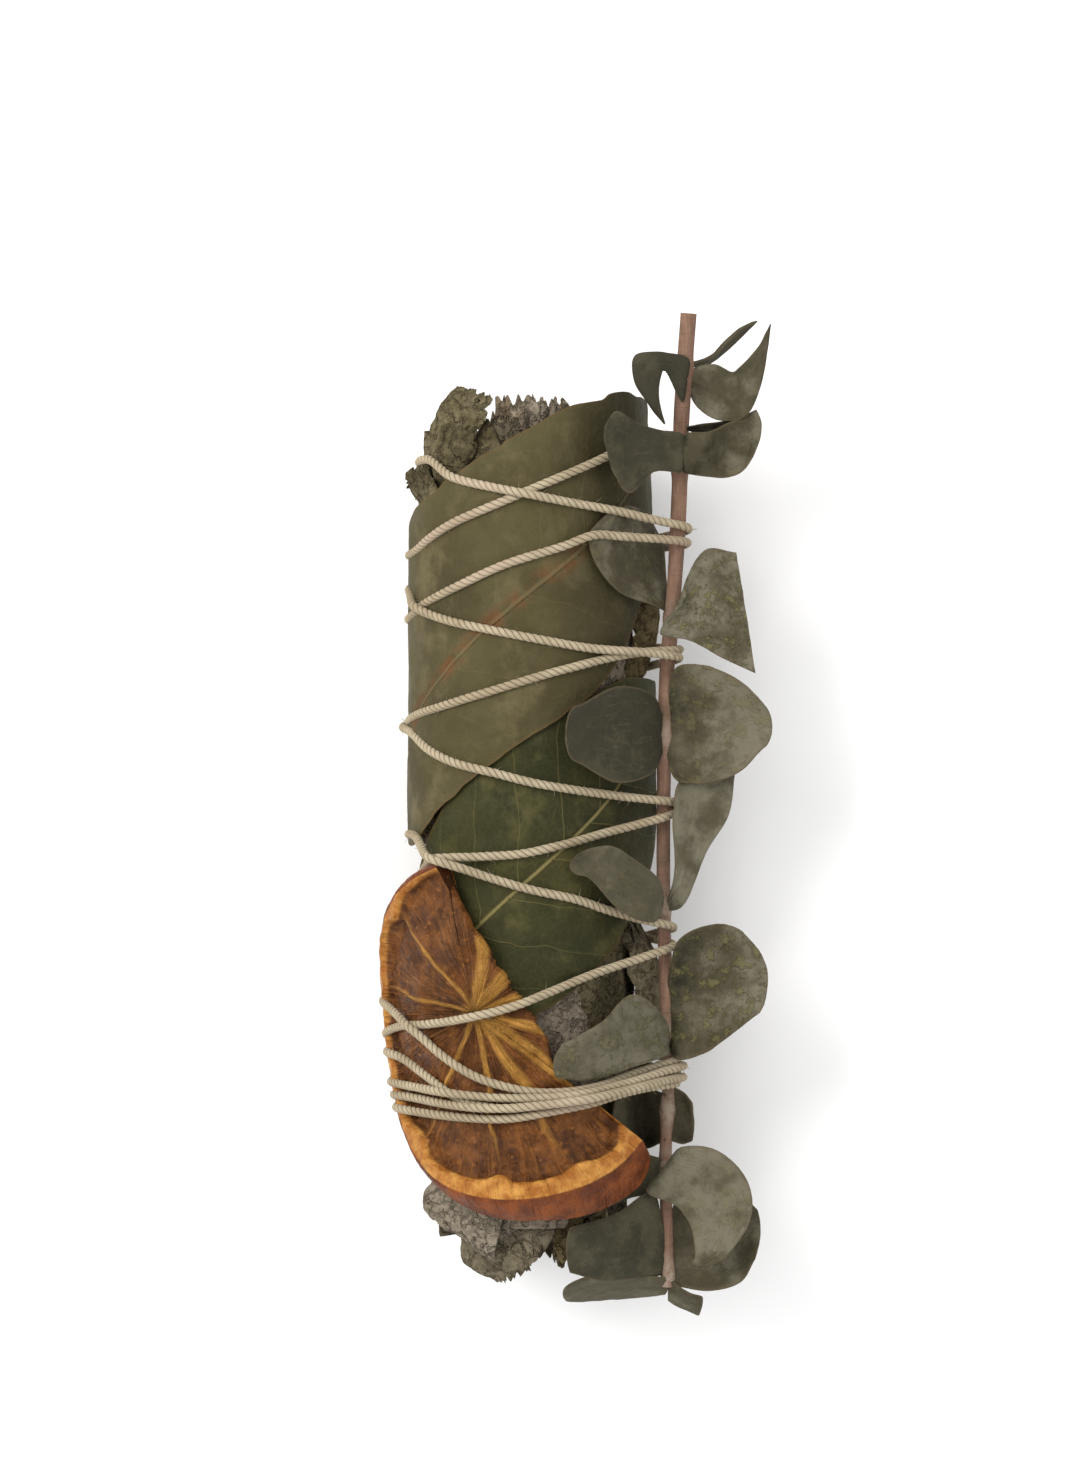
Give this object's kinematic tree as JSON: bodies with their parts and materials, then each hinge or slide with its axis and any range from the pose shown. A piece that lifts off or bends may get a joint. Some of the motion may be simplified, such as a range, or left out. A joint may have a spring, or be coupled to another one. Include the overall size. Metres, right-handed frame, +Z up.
{
  "type": "sage smudge stick",
  "caption": "Rolled bundle of dried sage leaves, wrapped in bay leaves with a eucalyptus sprig and a dried orange slice, bound by criss-crossed cotton string.",
  "frame": {"origin": "centre of the flattened strand of string that the stick rests on, at the height of the surface", "axes": "+Y along the stick towards its upper end, +X to the side of the eucalyptus sprig, +Z up from the surface"},
  "size_m": [0.0681, 0.1712, 0.049],
  "materials": {
    "sage_leaf": "matte",
    "bay_leaf": "satin",
    "bay_leaf_dark": "satin",
    "dried_orange": "satin",
    "eucalyptus_leaf": "matte",
    "cotton": "matte"
  },
  "bodies": {
    "root": {"sage_bundle": "sage_leaf", "bay_leaf_upper": "bay_leaf", "bay_leaf_lower": "bay_leaf_dark", "orange_slice": "dried_orange", "eucalyptus_sprig": "eucalyptus_leaf", "string": "cotton"}
  },
  "joints": []
}
